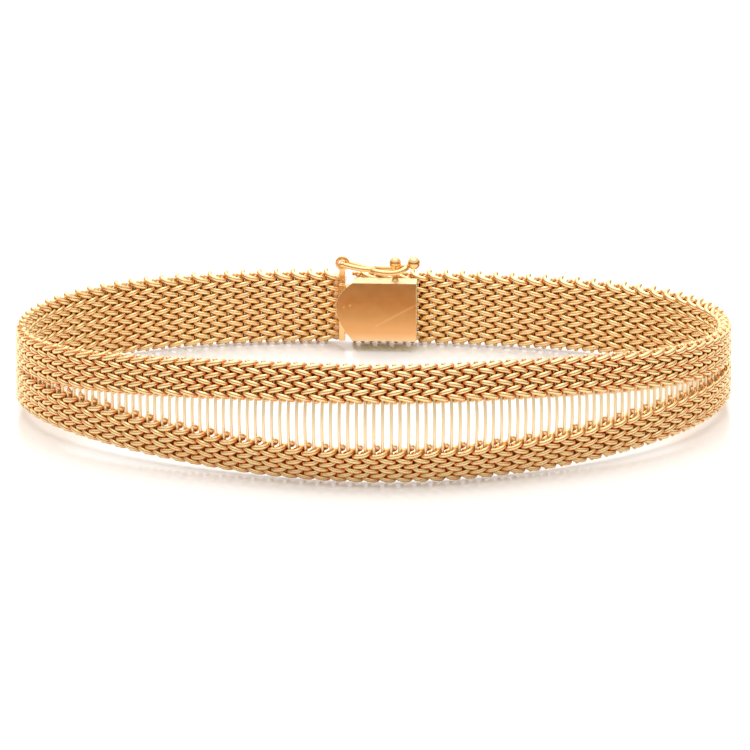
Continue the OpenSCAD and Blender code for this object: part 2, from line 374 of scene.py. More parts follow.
def band_place_tree():
    """Puts a point on the band, from its distance along, across and above the mesh."""
    takes = {
        "Path": "geometry",
        **dict.fromkeys(("Along", "Across", "Rise", "Side"), "float"),
        **WINDOW_INPUTS,
    }
    tree, ins, out = new_tree("Band_place", "GeometryNodeTree", takes, {"Position": "vector"})
    total = Num(tree, add_node(tree, "GeometryNodeCurveLength", Curve=ins["Path"]).outputs["Length"])
    laps = (ins["Along"] / total).maths("ROUND")
    front = ins["Along"] - laps * total
    off_middle = (front - ins["Window Shift"]).maths("ABSOLUTE") / ins["Window Reach"]
    closing = (off_middle.maths("POWER", ins["Window Power"]) * -1.0).maths("EXPONENT")
    window = ins["Window Height"] * closing
    bend = (window / ins["Window Height"] / ins["Crown Radius"]).maths("MAXIMUM", FLATTEST_BEND)
    across = ins["Across"] + ins["Side"] * window * 0.5
    lean = across * bend
    tilt_cos, tilt_sin = lean.maths("COSINE"), lean.maths("SINE")
    outward = (tilt_cos - 1.0) / bend + ins["Rise"] * tilt_cos
    upward = tilt_sin / bend + ins["Rise"] * tilt_sin
    walked = ins["Along"] - (ins["Along"] / total).maths("FLOOR") * total
    sample = add_node(
        tree, "GeometryNodeSampleCurve", {"mode": "LENGTH", "use_all_curves": True},
        Curves=ins["Path"], Length=walked,
    )
    side = vector_maths(tree, "CROSS_PRODUCT", sample.outputs["Tangent"], (0, 0, 1))
    unit = vector_maths(tree, "NORMALIZE", side)
    pushed = add_node(tree, "ShaderNodeVectorMath", {"operation": "SCALE"}, Vector=unit, Scale=outward)
    moved = vector_maths(tree, "ADD", sample.outputs["Position"], pushed.outputs[0])
    raised = add_node(tree, "ShaderNodeCombineXYZ", Z=upward)
    feed(tree, out.inputs["Position"], vector_maths(tree, "ADD", moved, raised.outputs[0]))
    spread_nodes(tree)
    return tree


def repeated_lines(tree, count, points):
    """Many straight lines of as many points; returns them, each point's line and share along it."""
    line = add_node(tree, "GeometryNodeCurvePrimitiveLine")
    ruled = add_node(tree, "GeometryNodeResampleCurve", Curve=line.outputs["Curve"], Count=points)
    seeds = add_node(tree, "GeometryNodePoints", Count=count)
    copies = add_node(
        tree, "GeometryNodeInstanceOnPoints", Points=seeds.outputs[0], Instance=ruled.outputs["Curve"]
    )
    lines = add_node(tree, "GeometryNodeRealizeInstances", Geometry=copies.outputs["Instances"])
    index = Num(tree, add_node(tree, "GeometryNodeInputIndex").outputs["Index"])
    number = ((index + 0.5) / points).maths("FLOOR")
    part = (index - number * points) / (points - 1)
    return lines.outputs["Geometry"], number, part


def place_on_band(tree, ins, lines, along, across, rise, side):
    """Moves the points of lines onto the band."""
    place = bpy.data.node_groups.get("Band_place") or band_place_tree()
    spot = add_node(tree, "GeometryNodeGroup", {"node_tree": place}, Path=ins["Path"])
    for name, value in (("Along", along), ("Across", across), ("Rise", rise), ("Side", side)):
        feed(tree, spot.inputs[name], value)
    for name in WINDOW_INPUTS:
        feed(tree, spot.inputs[name], ins[name])
    moved = add_node(
        tree, "GeometryNodeSetPosition", Geometry=lines, Position=spot.outputs["Position"]
    )
    return moved.outputs["Geometry"]


def keep_value(tree, geometry, name, value):
    """Stores a number on each point, for the woven gold to read."""
    node = add_node(
        tree, "GeometryNodeStoreNamedAttribute", {"data_type": "FLOAT", "domain": "POINT"},
        Geometry=geometry, Name=name,
    )
    feed(tree, node.inputs["Value"], value)
    return node.outputs["Geometry"]


def keep_chance(tree, curves, number, seed):
    """Stores a random share on each wire, by its number."""
    chance = add_node(tree, "FunctionNodeRandomValue", {"data_type": "FLOAT"}, Seed=seed)
    feed(tree, chance.inputs["ID"], number)
    return keep_value(tree, curves, "coil", chance.outputs["Value"])


def wires_to_mesh(tree, ins, curves, out, width=1.0):
    """Round wires along curves, smooth, with their material, as one real mesh."""
    ring = add_node(
        tree, "GeometryNodeCurvePrimitiveCircle", {"mode": "RADIUS"},
        Resolution=ins["Sides"], Radius=ins["Wire"] * 0.5,
    )
    wires = add_node(
        tree, "GeometryNodeCurveToMesh",
        Curve=curves, Profile_Curve=ring.outputs["Curve"], Scale=width, Fill_Caps=True,
    )
    smooth = add_node(tree, "GeometryNodeSetShadeSmooth", Geometry=wires.outputs["Mesh"])
    real = add_node(tree, "GeometryNodeRealizeInstances", Geometry=smooth.outputs["Geometry"])
    finished = add_node(
        tree, "GeometryNodeSetMaterial", Geometry=real.outputs["Geometry"], Material=ins["Material"]
    )
    tree.links.new(finished.outputs["Geometry"], out.inputs["Mesh"])
    spread_nodes(tree)


CAP_RINGS = 3  # rings that round off each end of a coil's wire
CAP_TIP = 0.08  # share of the wire's width that is left at its tip
END_SHADE = 0.3  # share of the painted shade that is left at a coil's end
SHADE_RETURN_RATE = 4.0  # how fast the painted shade comes back, for each turn from the end
COIL_SEED = 7
WIRE_SEED = 11


def weaving_tree(name, whole, parts):
    """A tree that takes the plan's edges, whole numbers and parts, with the plan as a curve."""
    takes = {
        "Plan": "geometry",
        **dict.fromkeys(whole, "int"),
        **dict.fromkeys(parts, "float"),
        **BAND_INPUTS,
    }
    tree, ins, out = new_tree(name, "GeometryNodeTree", takes, {"Mesh": "geometry"})
    ins["Path"] = add_node(tree, "GeometryNodeMeshToCurve", Mesh=ins["Plan"]).outputs["Curve"]
    return tree, ins, out


def coil_tree():
    """Flattened coils side by side, of opposite hands in turn, along the band."""
    tree, ins, out = weaving_tree(
        "Woven_coils",
        ("First Coil", "Coils", "Turns", "Steps"),
        (
            "Side", "Stretch", "Base", "Pitch", "Coil Pitch", "Half Length", "Half Depth", "Tail",
            "Edge Rise", "Edge Reach",
        ),
    )
    body = ins["Turns"] * ins["Steps"]
    points = body + (1.0 + 2 * CAP_RINGS)
    lines, number, part = repeated_lines(tree, ins["Coils"], points)
    coil = number + ins["First Coil"]
    odd = coil.maths("FLOORED_MODULO", 2.0)
    hand = odd * 2.0 - 1.0
    step = part * (points - 1.0) - float(CAP_RINGS)
    inside = step.maths("MAXIMUM", 0.0).maths("MINIMUM", body)
    cap = (step - inside) * (math.pi / 2 / CAP_RINGS)
    cap_turns = ins["Wire"] / ins["Half Depth"] / (4 * math.pi)
    run = ins["Turns"] + ins["Tail"] * 2
    turns = inside / body * run - ins["Tail"] + cap.maths("SINE") * cap_turns
    angle = turns * (2 * math.pi)
    face = hand * angle.maths("SINE")
    along = (coil + 0.5) * ins["Pitch"] + ins["Half Length"] * angle.maths("COSINE")
    last_bend = ((turns - ins["Turns"]) / ins["Edge Reach"] + 1.0).maths("MAXIMUM", 0.0)
    rise = last_bend * last_bend * odd * ins["Edge Rise"]
    across = ins["Base"] + turns * ins["Coil Pitch"] + rise
    side = ins["Side"] + across * ins["Stretch"]
    curves = place_on_band(tree, ins, lines, along, across, face * ins["Half Depth"], side)
    # The stored "inside" share scales the painted shade: full between coils, less towards a coil's ends.
    to_end = turns.maths("MINIMUM", ins["Turns"] - turns).maths("MAXIMUM", 0.0)
    deep = (to_end * SHADE_RETURN_RATE + END_SHADE).maths("MINIMUM", 1.0)
    curves = keep_value(tree, curves, "face", face)
    curves = keep_value(tree, curves, "inside", deep)
    curves = keep_chance(tree, curves, coil, COIL_SEED)
    wires_to_mesh(tree, ins, curves, out, cap.maths("COSINE").maths("MAXIMUM", CAP_TIP))
    return tree


def cross_wire_tree():
    """Straight wires across the band, which the coils hold and the window bares."""
    tree, ins, out = weaving_tree(
        "Cross_wires", ("First Wire", "Wires", "Steps"), ("Pitch", "Strip")
    )
    lines, number, part = repeated_lines(tree, ins["Wires"], ins["Steps"] + 1.0)
    along = (number + ins["First Wire"]) * ins["Pitch"]
    swing = part * 2 - 1.0
    curves = place_on_band(tree, ins, lines, along, swing * ins["Strip"], 0.0, swing)
    curves = keep_chance(tree, curves, number, WIRE_SEED)
    wires_to_mesh(tree, ins, curves, out)
    return tree


def add_object(name, data):
    """A new object in the scene."""
    thing = bpy.data.objects.new(name, data)
    bpy.context.scene.collection.objects.link(thing)
    return thing


def evaluated_mesh(thing):
    """The plain mesh that an object's modifiers give."""
    depsgraph = bpy.context.evaluated_depsgraph_get()
    return bpy.data.meshes.new_from_object(thing.evaluated_get(depsgraph), depsgraph=depsgraph)


def stood_loop():
    """The loop's plan and its stance, from the present settings."""
    plan = Plan(settings().loop)
    return plan, Stance(plan, settings().clasp)


def clasp_place():
    """The clasp's own frame, as it stands."""
    return stood_loop()[1].clasp


def grow(name, tree, values):
    """Runs a tree on a line of edges round the plan and keeps its result as a plain mesh."""
    plan, stance = stood_loop()
    line_mesh = bpy.data.meshes.new("Plan_line")
    edges = [(i, i + 1) for i in range(len(plan.points) - 1)]
    line_mesh.from_pydata(plan.points, edges, [])
    line = add_object("Plan_line", line_mesh)
    modifier = line.modifiers.new("Weave", "NODES")
    modifier.node_group = tree
    keys = {s.name: s.identifier for s in tree.interface.items_tree if s.in_out == "INPUT"}
    for key, value in values.items():
        modifier[keys[key]] = value
    mesh = evaluated_mesh(line)
    line.modifiers.remove(modifier)
    bpy.data.objects.remove(line)
    mesh.name = name
    mesh.transform(stance.loop)
    return add_object(name, mesh)


def keep(piece, body, node):
    """Hangs a finished piece on the body that it rides on and hides the CAD node that it stands for."""
    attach(piece, body)
    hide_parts(node)


def piece_from_bmesh(name, shape, material, place):
    """A smooth piece from a bmesh, put in its place in the mesh."""
    bmesh.ops.recalc_face_normals(shape, faces=shape.faces)
    mesh = bpy.data.meshes.new(name)
    shape.to_mesh(mesh)
    shape.free()
    mesh.transform(place)
    mesh.materials.append(material)
    mesh.shade_smooth()
    return add_object(name, mesh)


def join_rings(shape, rings, sides, closed=False):
    """Faces between rings of points, any of which may be a single point."""
    for here, there in zip(rings, rings[1:] + (rings[:1] if closed else [])):
        for j in range(sides):
            k = j + 1
            near = [here[j % len(here)], here[k % len(here)]]
            far = [there[k % len(there)], there[j % len(there)]]
            shape.faces.new(list(dict.fromkeys(near + far)))


def add_wire(shape, path, radius, sides, closed):
    """Sweeps a round wire along points into a bmesh."""
    count = len(path)
    rings = []
    for i, point in enumerate(path):
        before = path[i - 1] if closed or i else point
        after = path[(i + 1) % count] if closed or i < count - 1 else point
        ahead = (after - before).normalized()
        across = ahead.cross(Vector((0, 0, 1))).normalized()
        above = across.cross(ahead)
        rings.append([
            shape.verts.new(point + radius * (across * math.cos(a) + above * math.sin(a)))
            for a in (2 * math.pi * j / sides for j in range(sides))
        ])
    join_rings(shape, rings, sides, closed)
    if not closed:
        shape.faces.new(rings[0])
        shape.faces.new(rings[-1])


def add_turned(shape, outline, place, sides=40):
    """Turns an outline of radius and height round its own upright into a bmesh."""
    rings = []
    for radius, height in outline:
        count = sides if radius > 0 else 1
        rings.append([
            shape.verts.new(place @ Vector((radius * math.cos(a), radius * math.sin(a), height)))
            for a in (2 * math.pi * j / sides for j in range(count))
        ])
    join_rings(shape, rings, sides)


def ball_outline(radius, start, steps=18):
    """Radius and height of a ball, from an angle above its lowest point to its top."""
    angles = [start + (math.pi - start) * i / steps for i in range(steps + 1)]
    outline = [(radius * math.sin(a), -radius * math.cos(a)) for a in angles]
    outline[-1] = (0, radius)
    return outline


SAME_POINT = 1e-6
FLAT_ANGLE = math.radians(1)
BEVEL_ANGLE = math.radians(40)
SHARP_ANGLE = math.radians(35)


def finished_copy(node, name, material, rounding):
    """A merged copy of a CAD node with rounded edges."""
    mesh = frame["nodes"][node].data.copy()
    mesh.name = name
    shape = bmesh.new()
    shape.from_mesh(mesh)
    bmesh.ops.remove_doubles(shape, verts=shape.verts, dist=SAME_POINT)
    bmesh.ops.dissolve_limit(shape, angle_limit=FLAT_ANGLE, verts=shape.verts, edges=shape.edges)
    shape.to_mesh(mesh)
    shape.free()
    mesh.materials.clear()
    mesh.materials.append(material)
    piece = add_object(name, mesh)
    bevel = piece.modifiers.new("Rounding", "BEVEL")
    bevel.width = rounding
    bevel.segments = 3
    bevel.limit_method = "ANGLE"
    bevel.angle_limit = BEVEL_ANGLE
    result = evaluated_mesh(piece)
    piece.modifiers.clear()
    piece.data = result
    result.name = name
    result.shade_smooth()
    result.set_sharp_from_angle(angle=SHARP_ANGLE)
    return piece


LINE_ANGLES = (12, 68, 141)  # degrees
LINE_STRETCH = 0.06
LINE_SHARPNESS = 40.0
LINE_ROUGHNESS = 0.06
RELIEF_DEPTH = 0.00002
MOTTLE_RELIEF, LINE_RELIEF = 0.4, 0.6  # shares of that depth


def wear_and_shade_group():
    """Soft mottling and fine lines over a surface, from its own coordinates, mixed towards a deeper colour
    by a given share, which on the woven gold is painted shade between the wires.
    """
    takes = {
        "Vector": "vector",
        "Colour": "colour",
        "Deep Colour": "colour",
        **dict.fromkeys(("Depth", "Mottle Scale", "Mottle", "Line Scale", "Smooth", "Rough"), "float"),
    }
    gives = {"Colour": "colour", "Roughness": "float", "Height": "float"}
    tree, ins, out = new_tree("Gold_wear", "ShaderNodeTree", takes, gives)
    mottle = add_node(
        tree, "ShaderNodeTexNoise", Vector=ins["Vector"], Scale=ins["Mottle Scale"], Detail=4.0
    )
    lines = []
    for angle in LINE_ANGLES:
        turned = add_node(
            tree, "ShaderNodeMapping", Vector=ins["Vector"], Scale=(LINE_STRETCH, 1.0, 1.0),
            Rotation=(0, math.radians(angle), math.radians(angle / 3)),
        )
        streak = add_node(
            tree, "ShaderNodeTexNoise",
            Vector=turned.outputs["Vector"], Scale=ins["Line Scale"], Detail=2.0,
        )
        off_line = (Num(tree, streak.outputs[0]) - 0.5).maths("ABSOLUTE") * LINE_SHARPNESS
        lines.append(off_line.maths("MULTIPLY_ADD", -1.0, 1.0).maths("MAXIMUM", 0.0))
    line = highest(lines)
    soft = Num(tree, mottle.outputs[0])
    # Mix towards the deep colour: painted shade between the wires on the woven gold, a plain share or the
    # plate's marks elsewhere.
    tint = (ins["Depth"] + (soft - 0.5) * ins["Mottle"]).maths("MAXIMUM", 0.0).maths("MINIMUM", 1.0)
    mixed = add_node(tree, "ShaderNodeMix", {"data_type": "RGBA"})
    feed(tree, mixed.inputs[0], tint)
    feed(tree, mixed.inputs[6], ins["Colour"])
    feed(tree, mixed.inputs[7], ins["Deep Colour"])
    rough = ins["Smooth"] + (ins["Rough"] - ins["Smooth"]) * soft
    feed(tree, out.inputs["Colour"], mixed.outputs[2])
    feed(tree, out.inputs["Roughness"], (rough + line * LINE_ROUGHNESS).maths("MINIMUM", 1.0))
    feed(tree, out.inputs["Height"], soft * MOTTLE_RELIEF - line * LINE_RELIEF)
    spread_nodes(tree)
    return tree


def new_material(name):
    """The empty node tree of a new material."""
    material = bpy.data.materials.new(name)
    material.use_nodes = True
    material.node_tree.nodes.clear()
    return material.node_tree


def metal_surface(tree, wear_and_shade, height, relief):
    """Bare metal with the colour and roughness of a group of mottling, fine lines and painted shade, and a
    fine relief.
    """
    bump = add_node(tree, "ShaderNodeBump", Height=height, Strength=relief, Distance=RELIEF_DEPTH)
    metal = add_node(
        tree, "ShaderNodeBsdfPrincipled", Base_Color=wear_and_shade.outputs["Colour"],
        Roughness=wear_and_shade.outputs["Roughness"], Normal=bump.outputs["Normal"], Metallic=1.0,
    )
    add_node(tree, "ShaderNodeOutputMaterial", Surface=metal.outputs["BSDF"])
    spread_nodes(tree)


def stored_value(tree, name):
    """A number that the trees stored on the wires."""
    node = add_node(tree, "ShaderNodeAttribute", {"attribute_name": name})
    return Num(tree, node.outputs["Fac"])


PLAIN_DEPTH = 0.12  # share of the deeper tone on a plain piece, and its spread between coils
SIDE_SHADE = 0.85  # share of painted shade where a coil turns down between its neighbours
WRIST_SIDE_SHADE = 0.45  # part of that painted shade on the wrist's side of the mesh
TURNING_DOWN = (0.9, 0.4)  # how squarely the wire faces out where the painted shade begins and is full


def painted_wire_shade(tree):
    """Painted shade: a deeper tone where a coil turns down between its neighbours, less on the wrist's
    side, with a random tone for each coil added.
    """
    face = stored_value(tree, "face")
    side = smooth_step(tree, face.maths("ABSOLUTE"), *TURNING_DOWN, 0.0, SIDE_SHADE)
    on_wrist_side = face.maths("LESS_THAN", 0.0) * (WRIST_SIDE_SHADE - 1.0) + 1.0
    return side * stored_value(tree, "inside") * on_wrist_side + stored_value(tree, "coil") * PLAIN_DEPTH


GoldFinish = namedtuple(
    "GoldFinish", "name base deep smooth rough mottle_scale mottle line_scale relief"
)
WOVEN = "Woven_gold"
GOLD_FINISHES = (
    GoldFinish(WOVEN, "mesh", "deep", 0.1, 0.18, 900, 0.25, 2500, 0.15),
    GoldFinish("Bare_wire_gold", "wire", "mesh", 0.4, 0.5, 700, 0.2, 2500, 0.1),
    GoldFinish("Polished_gold", "plate", "deep", 0.1, 0.2, 600, 0.2, 1200, 0.15),
    GoldFinish("Box_gold", "pale", "wire", 0.4, 0.5, 600, 0.2, 1200, 0.15),
    GoldFinish("Solder_gold", "solder", "mesh", 0.35, 0.5, 900, 0.5, 1500, 0.5),
    GoldFinish("Spring_gold", "plate", "deep", 0.25, 0.4, 500, 0.3, 800, 0.3),
)


def gold_tone(name):
    """One of the colours of gold in the settings."""
    return tuple(getattr(settings().finish, name + "_gold"))


def gold_finish(kind, wear_and_shade):
    """A gold finish: clean metal with its own mottling, fine lines and deeper tone, which on the woven gold
    is painted shade between the wires.
    """
    tree = new_material(kind.name)
    place = add_node(tree, "ShaderNodeTexCoord").outputs["Object"]
    group = add_node(
        tree, "ShaderNodeGroup", {"node_tree": wear_and_shade},
        Vector=place, Colour=gold_tone(kind.base), Deep_Colour=gold_tone(kind.deep),
        Depth=painted_wire_shade(tree) if kind.name == WOVEN else PLAIN_DEPTH,
        Mottle_Scale=kind.mottle_scale, Mottle=kind.mottle, Line_Scale=kind.line_scale,
        Smooth=kind.smooth, Rough=kind.rough,
    )
    metal_surface(tree, group, group.outputs["Height"], kind.relief)


# Painted reflection down the face plate: bright at the bottom where it mirrors the pale floor, browner
# above where it mirrors the dim room.
PLATE_LOW, PLATE_HIGH = -2.85, 3.0
PLATE_REFLECTION_TONES = (
    (0.0, (1.0, 0.66, 0.36, 1)),
    (0.14, (0.83, 0.43, 0.17, 1)),
    (0.42, (0.6, 0.29, 0.095, 1)),
    (0.66, (0.52, 0.22, 0.065, 1)),
    (1.0, (0.5, 0.24, 0.085, 1)),
)
PlateMark = namedtuple("PlateMark", "start end width strength")
PLATE_MARKS = (
    PlateMark((-0.8, -1.3), (3.0, 0.8), 0.16, 0.5),
    PlateMark((-4.0, 0.5), (-3.95, 0.6), 0.13, 0.7),
    PlateMark((-3.4, 0.65), (-3.35, 0.75), 0.15, 0.8),
)
PLATE_MARK_GOLD = (0.86, 0.5, 0.23, 1)
MARK_DEPTH, PLATE_DEPTH = 0.75, 0.06  # shares of the marks' gold in a mark and on the whole plate


def mark_mask(x, y, mark):
    """A soft mask along a straight mark on the plate, in millimetres of the clasp's own frame."""
    long = math.dist(mark.start, mark.end)
    ahead_x = (mark.end[0] - mark.start[0]) / long
    ahead_y = (mark.end[1] - mark.start[1]) / long
    off_x, off_y = x - mark.start[0], y - mark.start[1]
    along = off_x * ahead_x + off_y * ahead_y
    past = along - along.maths("MAXIMUM", 0.0).maths("MINIMUM", long)
    aside = off_y * ahead_x - off_x * ahead_y
    distance = (past * past + aside * aside).maths("SQRT")
    return (distance / -mark.width + 1.0).maths("MAXIMUM", 0.0) * mark.strength


def plate_finish(wear_and_shade):
    """The box's face plate: a painted reflection, brightest below where it mirrors the pale floor and
    browner above, with a worn scratch and two dents.
    """
    tree = new_material("Plate_gold")
    spot = add_node(tree, "ShaderNodeUVMap", {"uv_map": "Plate"}).outputs["UV"]
    parts = add_node(tree, "ShaderNodeSeparateXYZ", Vector=spot)
    x, y = Num(tree, parts.outputs["X"]), Num(tree, parts.outputs["Y"])
    ramp = add_node(tree, "ShaderNodeValToRGB", Fac=(y - PLATE_LOW) / (PLATE_HIGH - PLATE_LOW))
    stops = ramp.color_ramp.elements
    while len(stops) < len(PLATE_REFLECTION_TONES):
        stops.new(0.5)
    for stop, (place, tone) in zip(stops, PLATE_REFLECTION_TONES):
        stop.position, stop.color = place, tone
    marks = highest([mark_mask(x, y, mark) for mark in PLATE_MARKS])
    group = add_node(
        tree, "ShaderNodeGroup", {"node_tree": wear_and_shade},
        Vector=spot, Colour=ramp.outputs["Color"], Deep_Colour=PLATE_MARK_GOLD,
        Depth=marks * MARK_DEPTH + PLATE_DEPTH, Mottle_Scale=0.8, Mottle=0.35, Line_Scale=1.2,
        Smooth=0.3, Rough=0.42,
    )
    metal_surface(tree, group, Num(tree, group.outputs["Height"]) - marks, 0.25)


def finish_named(name):
    """One of the bracelet's finishes; the first call makes them all."""
    if name not in bpy.data.materials:
        wear_and_shade = wear_and_shade_group()
        for kind in GOLD_FINISHES:
            gold_finish(kind, wear_and_shade)
        plate_finish(wear_and_shade)
    return bpy.data.materials[name]


def window_values():
    """The window's sizes, by the names that the trees give them."""
    loop = settings().loop
    return {name: getattr(loop, name.lower().replace(" ", "_")) for name in WINDOW_INPUTS}


def coil_span():
    """First and last coil of the mesh and of its window."""
    weave, clasp, loop = settings().weave, settings().clasp, settings().loop
    plan, stance = stood_loop()
    reach = weave.coil_half + weave.coil_wire_d / 2
    last = math.floor((stance.clasp_walk - clasp.cover_end - reach) / weave.wire_pitch - 0.5)
    start = stance.clasp_walk - clasp.mesh_end - plan.total
    first = math.ceil((start + reach - weave.soldered) / weave.wire_pitch - 0.5)
    closing = math.log(loop.window_height / loop.closed_spread) ** (1 / loop.window_power)
    window, half = loop.window_shift, loop.window_reach * closing
    left = math.floor((window - half) / weave.wire_pitch)
    right = math.ceil((window + half) / weave.wire_pitch)
    return first, left, right, last


def weave_coils(name, first, count, side, strips):
    """A run of coils over the upper strip (side 1), the lower one (-1) or the whole band (0)."""
    weave, loop = settings().weave, settings().loop
    lowest = (weave.coil_wire_d - loop.band_width) / 2 + weave.low_gap
    values = {
        "First Coil": first,
        "Coils": count,
        "Side": float(side),
        "Stretch": 0.0 if side else 2 / loop.band_width,
        "Base": lowest + (weave.strip_turns * weave.coil_pitch if side > 0 else 0.0),
        "Pitch": weave.wire_pitch,
        "Coil Pitch": weave.coil_pitch,
        "Half Length": weave.coil_half,
        "Half Depth": (loop.thickness - weave.coil_wire_d) / 2,
        "Turns": weave.strip_turns * strips,
        "Steps": weave.turn_steps,
        "Tail": weave.tail,
        "Edge Rise": {-1: weave.curl_rise, 0: weave.edge_rise, 1: 0.0}[side],
        "Edge Reach": weave.edge_reach,
        "Wire": weave.coil_wire_d,
        "Sides": weave.wire_sides,
        "Material": finish_named(WOVEN),
        **window_values(),
    }
    tree = bpy.data.node_groups.get("Woven_coils") or coil_tree()
    keep(grow(name, tree, values), "bracelet", "woven_band")


class BRACELET_OT_strips(bpy.types.Operator):
    """Weave the upper and lower strips along the window"""

    bl_idname = "bracelet.strips"
    bl_label = "Window strips"

    def execute(self, context):
        _, left, right, _ = coil_span()
        weave_coils("upper_strip_coils", left, right - left, 1, 1)
        weave_coils("lower_strip_coils", left, right - left, -1, 1)
        return {"FINISHED"}


class BRACELET_OT_sides(bpy.types.Operator):
    """Weave the whole band round both ends to the clasp"""

    bl_idname = "bracelet.sides"
    bl_label = "Band sides"

    def execute(self, context):
        first, left, right, last = coil_span()
        weave_coils("right_band_coils", right, last - right + 1, 0, 2)
        weave_coils("left_band_coils", first, left - first, 0, 2)
        return {"FINISHED"}


class BRACELET_OT_cross_wires(bpy.types.Operator):
    """Run the cross wires through the coils and over the window"""

    bl_idname = "bracelet.cross_wires"
    bl_label = "Cross wires"

    def execute(self, context):
        weave = settings().weave
        first, _, _, last = coil_span()
        values = {
            "First Wire": first,
            "Wires": last - first + 2,
            "Pitch": weave.wire_pitch,
            "Strip": weave.strip_turns * weave.coil_pitch - weave.coil_wire_d / 2,
            "Steps": weave.wire_steps,
            "Wire": weave.cross_wire_d,
            "Sides": weave.wire_sides,
            "Material": finish_named("Bare_wire_gold"),
            **window_values(),
        }
        tree = bpy.data.node_groups.get("Cross_wires") or cross_wire_tree()
        keep(grow("cross_wires", tree, values), "bracelet", "woven_band")
        return {"FINISHED"}


def solder_block(clasp, half_width):
    """The lumpy solder that fills the last coils and joins them to the end cap."""
    middle = clasp.mesh_end - 0.35 * MM
    along, across, upright = 0.62 * MM, 0.42 * MM, half_width - 0.35 * MM
    drop = 0.15 * MM
    lump_height, lumps_upright, lumps_round = 0.16, 9, 1.5
    squareness = 12
    shape = bmesh.new()
    bmesh.ops.create_grid(shape, x_segments=40, y_segments=24, size=1)
    for vert in shape.verts:
        angle, part = (vert.co.y + 1) * math.pi, vert.co.x
        round_x, round_y = math.cos(angle), math.sin(angle)
        spot = Vector((part * lumps_upright, round_x * lumps_round, round_y * lumps_round))
        swell = 1 + lump_height * noise.noise(spot)
        swell *= math.sqrt(max(1 - abs(part) ** squareness, 0))
        vert.co = (middle + along * round_x * swell, across * round_y * swell, upright * part - drop)
    bmesh.ops.remove_doubles(shape, verts=shape.verts, dist=SAME_POINT)
    return piece_from_bmesh("cap_solder", shape, finish_named("Solder_gold"), clasp_place())


FACING_WRIST = 0.97


def paint_plate(mesh):
    """Gives the faces towards the wrist the plate's finish of painted reflection and worn marks, and the
    clasp's own places as their UV.
    """
    mesh.materials.append(finish_named("Plate_gold"))
    into_clasp = clasp_place().inverted()
    spots = mesh.uv_layers.new(name="Plate")
    for face in mesh.polygons:
        if into_clasp.to_3x3() @ face.normal @ Vector((0, -1, 0)) > FACING_WRIST:
            face.material_index = 1
        for loop in face.loop_indices:
            place = into_clasp @ mesh.vertices[mesh.loops[loop].vertex_index].co
            spots.data[loop].uv = (place.x / MM, place.z / MM)


class BRACELET_OT_box(bpy.types.Operator):
    """Finish the clasp box, the end cap with its solder, and the tongue"""

    bl_idname = "bracelet.box"
    bl_label = "Clasp box"

    def execute(self, context):
        clasp = settings().clasp
        polished = finish_named("Polished_gold")
        # The box's top and edges get the paler gold as painted light; its face towards the wrist gets the
        # plate's painted reflection.
        box = finished_copy("clasp_box", "clasp_box_plate", finish_named("Box_gold"), clasp.edge_round)
        paint_plate(box.data)
        keep(box, "bracelet", "clasp_box")
        cap = finished_copy("end_cap", "end_cap_plate", polished, clasp.edge_round / 2)
        keep(cap, "bracelet", "end_cap")
        solder = solder_block(clasp, settings().loop.band_width / 2)
        keep(solder, "bracelet", "end_cap")
        for slot in frame["nodes"]["clasp_tongue"].material_slots:
            slot.material = finish_named("Spring_gold")
        return {"FINISHED"}


class BRACELET_OT_stud(bpy.types.Operator):
    """Turn the stud that the safety snaps over"""

    bl_idname = "bracelet.stud"
    bl_label = "Safety stud"

    def execute(self, context):
        clasp = settings().clasp
        post, radius = clasp.stud_post_d / 2, clasp.stud_ball_d / 2
        foot, rim, flare = clasp.box_top - clasp.stud_z, 0.08 * MM, 0.25 * MM
        outline = [(0, foot), (post * 1.5, foot), (post * 1.4, foot + rim), (post, foot + flare)]
        outline += ball_outline(radius, math.asin(post / radius))
        shape = bmesh.new()
        add_turned(shape, outline, Matrix.Translation((clasp.stud_x, clasp.box_middle, clasp.stud_z)))
        stud = piece_from_bmesh("stud_ball_post", shape, finish_named("Polished_gold"), clasp_place())
        keep(stud, "bracelet", "safety_stud")
        return {"FINISHED"}


def safety_height(clasp, x):
    """Height of the safety's wire at a place along the box."""
    end_x, end_z = clasp.finger_x, clasp.stud_z
    if x < clasp.low_x:
        end_x, end_z = clasp.hinge_x, clasp.hinge_z
    part = (x - clasp.low_x) / (end_x - clasp.low_x)
    return clasp.low_z + (end_z - clasp.low_z) * part * part


